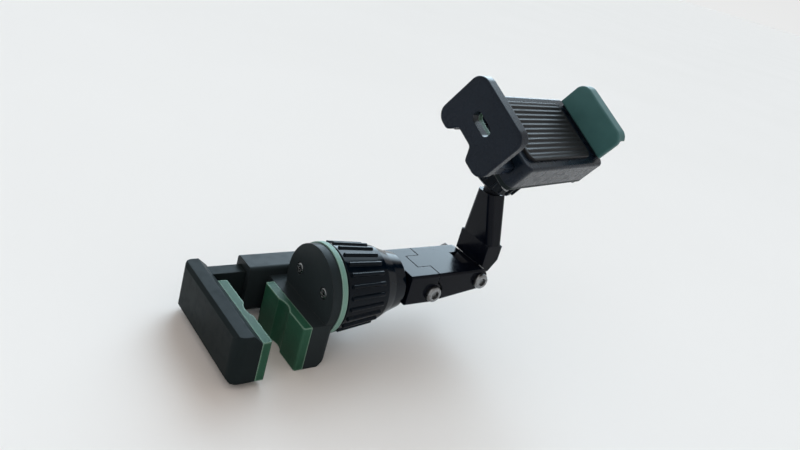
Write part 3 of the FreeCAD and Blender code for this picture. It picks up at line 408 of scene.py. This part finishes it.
def recess_outline(kind, head):
    """The outline of a recess in a screw's head, and its depth as a share of the head's height."""
    if kind == "hexagon":
        return (lambda angle: hexagon(angle, head * SOCKET_FLATS)), SOCKET_DEPTH_OF_HEIGHT
    return (lambda angle: cross(angle, head * CROSS_REACH, head * CROSS_HALF_WIDTH)), CROSS_DEPTH_OF_HEIGHT


def make_screws(node, axis, recess_kind):
    """Screws with cut recesses, each as large as its plain CAD solid and in its place."""
    all_points, all_faces = [], []
    for solid in solids_of(node):
        tip, top = extent(solid, axis)
        centre = centre_line(solid, axis)
        away = [(point - centre - axis * point.dot(axis)).length for point in solid]
        head = max(away)
        seat = min(point.dot(axis) for point, reach in zip(solid, away) if reach > HEAD_SHARE * head)
        shank = max(reach for point, reach in zip(solid, away) if point.dot(axis) < seat - SEAT_TOLERANCE)
        recess, depth_of_height = recess_outline(recess_kind, head)
        depth = (top - seat) * depth_of_height
        points, faces = skin(screw_rings(head, shank, seat, top, tip, recess, depth), False)
        start = len(all_points)
        all_points += placed(points, centre, axis)
        all_faces += [[start + index for index in face] for face in faces]
    add_piece(f"{node}_cut", all_points, all_faces, STEEL, node)


# Nuts

NUT_CHAMFER = radians(30)
# Shares of the nut's half width and of its hole
NUT_FACE, COUNTERSINK = 0.99, 0.15


def make_nut(node, axis):
    """A hexagon nut with chamfered corners and a countersunk hole."""
    solid = solids_of(node)[0]
    centre = centre_line(solid, axis)
    low, high = extent(solid, axis)
    corner_low, corner_high = extent(solid, frame_along(axis)[0])
    flats = (corner_high - corner_low) * cos(pi / 6)
    hole = min((point - centre - axis * point.dot(axis)).length for point in solid)
    sink = hole * COUNTERSINK
    face = flats / 2 * NUT_FACE

    def outside(sign, base):
        return lambda angle: (
            hexagon(angle, flats), base - sign * (hexagon(angle, flats) - flats / 2) * tan(NUT_CHAMFER))

    rings = [
        level(hole, low + sink), level(hole + sink, low), level(face, low), outside(-1, low),
        outside(1, high), level(face, high), level(hole + sink, high), level(hole, high - sink),
    ]
    points, faces = skin(rings, True)
    add_piece(f"{node}_cut", placed(points, centre, axis), faces, STEEL, node)


# Rubber bed for the phone's back

BED_CORNER, BED_EDGE = 4.0 * MM, 0.5 * MM
RIDGE_PITCH, RIDGE_HEIGHT = 2.4 * MM, 0.55 * MM
# The flat border around the ridges, and the length over which they rise from it
RIDGE_BORDER, RIDGE_FADE = 1.0 * MM, 2.0 * MM
BED_ROWS, BED_COLUMNS = 180, 60
# Keeps the first and last rows of the bed from shrinking to a line
BED_END = 0.999


def clamped(number):
    return min(1.0, max(0.0, number))


def make_rest_pad(node):
    """A rounded rubber sheet with ridges across its face."""
    solid = solids_of(node)[0]
    axes = (ACROSS_CLIP, UP_CLIP, OUT_OF_CLIP)
    sides = [extent(solid, axis) for axis in axes]
    middle = [(low + high) / 2 for low, high in sides]
    half_wide, half_tall, half_thick = [(high - low) / 2 for low, high in sides]
    points = []
    for row in range(BED_ROWS + 1):
        tall = half_tall * sin(pi / 2 * (2 * row / BED_ROWS - 1) * BED_END)
        past = max(0.0, abs(tall) - (half_tall - BED_CORNER))
        wide = half_wide - BED_CORNER + sqrt(max(0.0, BED_CORNER ** 2 - past ** 2))
        for column in range(BED_COLUMNS + 1):
            reach = wide * sin(pi / 2 * (2 * column / BED_COLUMNS - 1))
            inside = min(wide - abs(reach), half_tall - abs(tall))
            edge = sqrt(1 - (1 - clamped(inside / BED_EDGE)) ** 2)
            wave = (1 - cos(2 * pi * tall / RIDGE_PITCH)) / 2
            groove = RIDGE_HEIGHT * wave * clamped((inside - RIDGE_BORDER) / RIDGE_FADE)
            points.append((reach, tall, half_thick - BED_EDGE * (1 - edge) - groove))
    top_count = len(points)
    points += [(x, y, -half_thick) for x, y, z in points]
    faces = []
    line = BED_COLUMNS + 1
    for row in range(BED_ROWS):
        for column in range(BED_COLUMNS):
            near = row * line + column
            quad = [near, near + 1, near + line + 1, near + line]
            faces.append(quad)
            faces.append([index + top_count for index in reversed(quad)])
    border = list(range(BED_COLUMNS))
    border += [row * line + BED_COLUMNS for row in range(BED_ROWS)]
    border += [BED_ROWS * line + column for column in range(BED_COLUMNS, 0, -1)]
    border += [row * line for row in range(BED_ROWS, 0, -1)]
    for index, here in enumerate(border):
        after = border[(index + 1) % len(border)]
        faces.append([after, here, here + top_count, after + top_count])
    turned = [sum((axis * (place + part) for axis, place, part in zip(axes, middle, point)), Vector())
              for point in points]
    add_piece(f"{node}_ridged", turned, faces, REST, node)


make_screws("fork_screw", Vector((0, -1, 0)), "hexagon")
make_screws("link_screw", Vector((0, -1, 0)), "hexagon")
make_screws("cover_screws", Vector((1, 0, 0)), "cross")
make_screws("socket_screws", Vector((-1, 0, 0)), "cross")
make_screws("shell_screws", -OUT_OF_CLIP, "cross")
make_screws("crossbar_screws", ACROSS_CLIP, "cross")
make_nut("fork_nut", Vector((0, 1, 0)))
make_nut("link_nut", Vector((0, 1, 0)))
make_rest_pad("phone_rest_pad")


# Floor and light, in metres

FLOOR_REACH, FLOOR_DROP = 60.0, 0.1 * MM
FLOOR_DARK, FLOOR_LIGHT = (0.785, 0.73, 0.692), (0.8, 0.744, 0.707)
HORIZON, ZENITH, SKY = (0.82, 0.825, 0.825), (0.48, 0.45, 0.42), (0.64, 0.83, 0.97)
# The direction and strength of each window
WINDOWS = (((0.612, 0.669, 0.421), 6.1), ((0.55, 0.3, 0.78), 3.2))
WINDOW_CORE, WINDOW_EDGE = radians(15), radians(26)
# The lamp's place from the middle of the object, its size, power in watts and tint
FILL_PLACE, FILL_SIZE = Vector((-0.75, -0.35, 0.85)), 0.9
FILL_POWER, FILL_TINT = 1.2, (0.92, 0.96, 1.0)


def make_floor(height):
    mesh = bpy.data.meshes.new("floor")
    corners = [(x * FLOOR_REACH, y * FLOOR_REACH, height) for x, y in ((-1, -1), (1, -1), (1, 1), (-1, 1))]
    mesh.from_pydata(corners, [], [(0, 1, 2, 3)])
    floor = bpy.data.objects.new("floor", mesh)
    scene.collection.objects.link(floor)
    shader = Shader("pale_floor")
    cloud = shader.spread(shader.noise(scale=3.0))
    shader.colour(shader.mix(cloud, FLOOR_DARK, FLOOR_LIGHT))
    shader.set(Roughness=0.9, Specular_IOR_Level=0.0)
    mesh.materials.append(shader.material)


def make_world():
    """A pale studio dome with two soft round windows behind the object."""
    world = bpy.data.worlds.new("studio")
    scene.world = world
    world.use_nodes = True
    tree = world.node_tree
    place = tree.nodes.new("ShaderNodeTexCoord").outputs["Generated"]
    parts = tree.nodes.new("ShaderNodeSeparateXYZ")
    tree.links.new(place, parts.inputs[0])
    ramp = tree.nodes.new("ShaderNodeValToRGB")
    tree.links.new(parts.outputs["Z"], ramp.inputs["Fac"])
    ramp.color_ramp.elements[0].color = (*HORIZON, 1.0)
    ramp.color_ramp.elements[1].color = (*ZENITH, 1.0)
    dome = next(node for node in tree.nodes if node.type == "BACKGROUND")
    tree.links.new(ramp.outputs["Color"], dome.inputs["Color"])
    light = dome.outputs[0]
    for towards, strength in WINDOWS:
        facing = tree.nodes.new("ShaderNodeVectorMath")
        facing.operation = "DOT_PRODUCT"
        tree.links.new(place, facing.inputs[0])
        facing.inputs[1].default_value = Vector(towards).normalized()
        fade = tree.nodes.new("ShaderNodeMapRange")
        fade.interpolation_type = "SMOOTHSTEP"
        tree.links.new(facing.outputs["Value"], fade.inputs["Value"])
        fade.inputs["From Min"].default_value = cos(WINDOW_EDGE)
        fade.inputs["From Max"].default_value = cos(WINDOW_CORE)
        fade.inputs["To Max"].default_value = strength
        window = tree.nodes.new("ShaderNodeBackground")
        window.inputs["Color"].default_value = (*SKY, 1.0)
        tree.links.new(fade.outputs["Result"], window.inputs["Strength"])
        both = tree.nodes.new("ShaderNodeAddShader")
        tree.links.new(light, both.inputs[0])
        tree.links.new(window.outputs[0], both.inputs[1])
        light = both.outputs[0]
    output = next(node for node in tree.nodes if node.type == "OUTPUT_WORLD")
    tree.links.new(light, output.inputs["Surface"])


def make_fill_light(target):
    """A large soft lamp in front of the object, on its clamp's side."""
    lamp = bpy.data.lights.new("front_fill", "AREA")
    lamp.shape = "SQUARE"
    lamp.size = FILL_SIZE
    lamp.energy = FILL_POWER
    lamp.color = FILL_TINT
    holder = bpy.data.objects.new("front_fill", lamp)
    scene.collection.objects.link(holder)
    holder.location = target + FILL_PLACE
    holder.rotation_euler = (-FILL_PLACE).to_track_quat("-Z", "Y").to_euler()
    holder.visible_camera = False


# Camera

EYE = Vector((-127.2, -202.9, 155.2)) * MM
TO_THE_RIGHT, FORWARD = Vector((0.767, -0.581, 0.271)), Vector((0.641, 0.700, -0.313))
# The photograph's size, focal length and the middle of the drawn-in view, in its pixels
PHOTO_WIDE, PHOTO_TALL, PHOTO_FOCAL = 800.0, 450.0, 300.0
VIEW_X, VIEW_Y = 388.5, 247.5
CLOSER = 2.4
SENSOR_WIDTH = 36.0
CLIP_START, CLIP_END = 0.01, 100.0


def make_camera():
    """The photograph's viewpoint and direction, with the frame drawn in around the object."""
    forward = FORWARD.normalized()
    up = TO_THE_RIGHT.normalized().cross(forward).normalized()
    right = forward.cross(up).normalized()
    lens = bpy.data.cameras.new("camera")
    lens.sensor_width = SENSOR_WIDTH
    lens.lens = SENSOR_WIDTH * PHOTO_FOCAL / PHOTO_WIDE * CLOSER
    lens.shift_x = (VIEW_X - PHOTO_WIDE / 2) / PHOTO_WIDE * CLOSER
    lens.shift_y = (PHOTO_TALL / 2 - VIEW_Y) / PHOTO_WIDE * CLOSER
    lens.clip_start = CLIP_START
    lens.clip_end = CLIP_END
    camera = bpy.data.objects.new("camera", lens)
    scene.collection.objects.link(camera)
    turn = Matrix((right, up, -forward)).transposed()
    camera.matrix_world = Matrix.Translation(EYE) @ turn.to_4x4()
    scene.camera = camera


make_floor(cad_low.z - FLOOR_DROP)
make_world()
make_fill_light((cad_low + cad_high) / 2)
make_camera()
scene.view_settings.view_transform = "Standard"
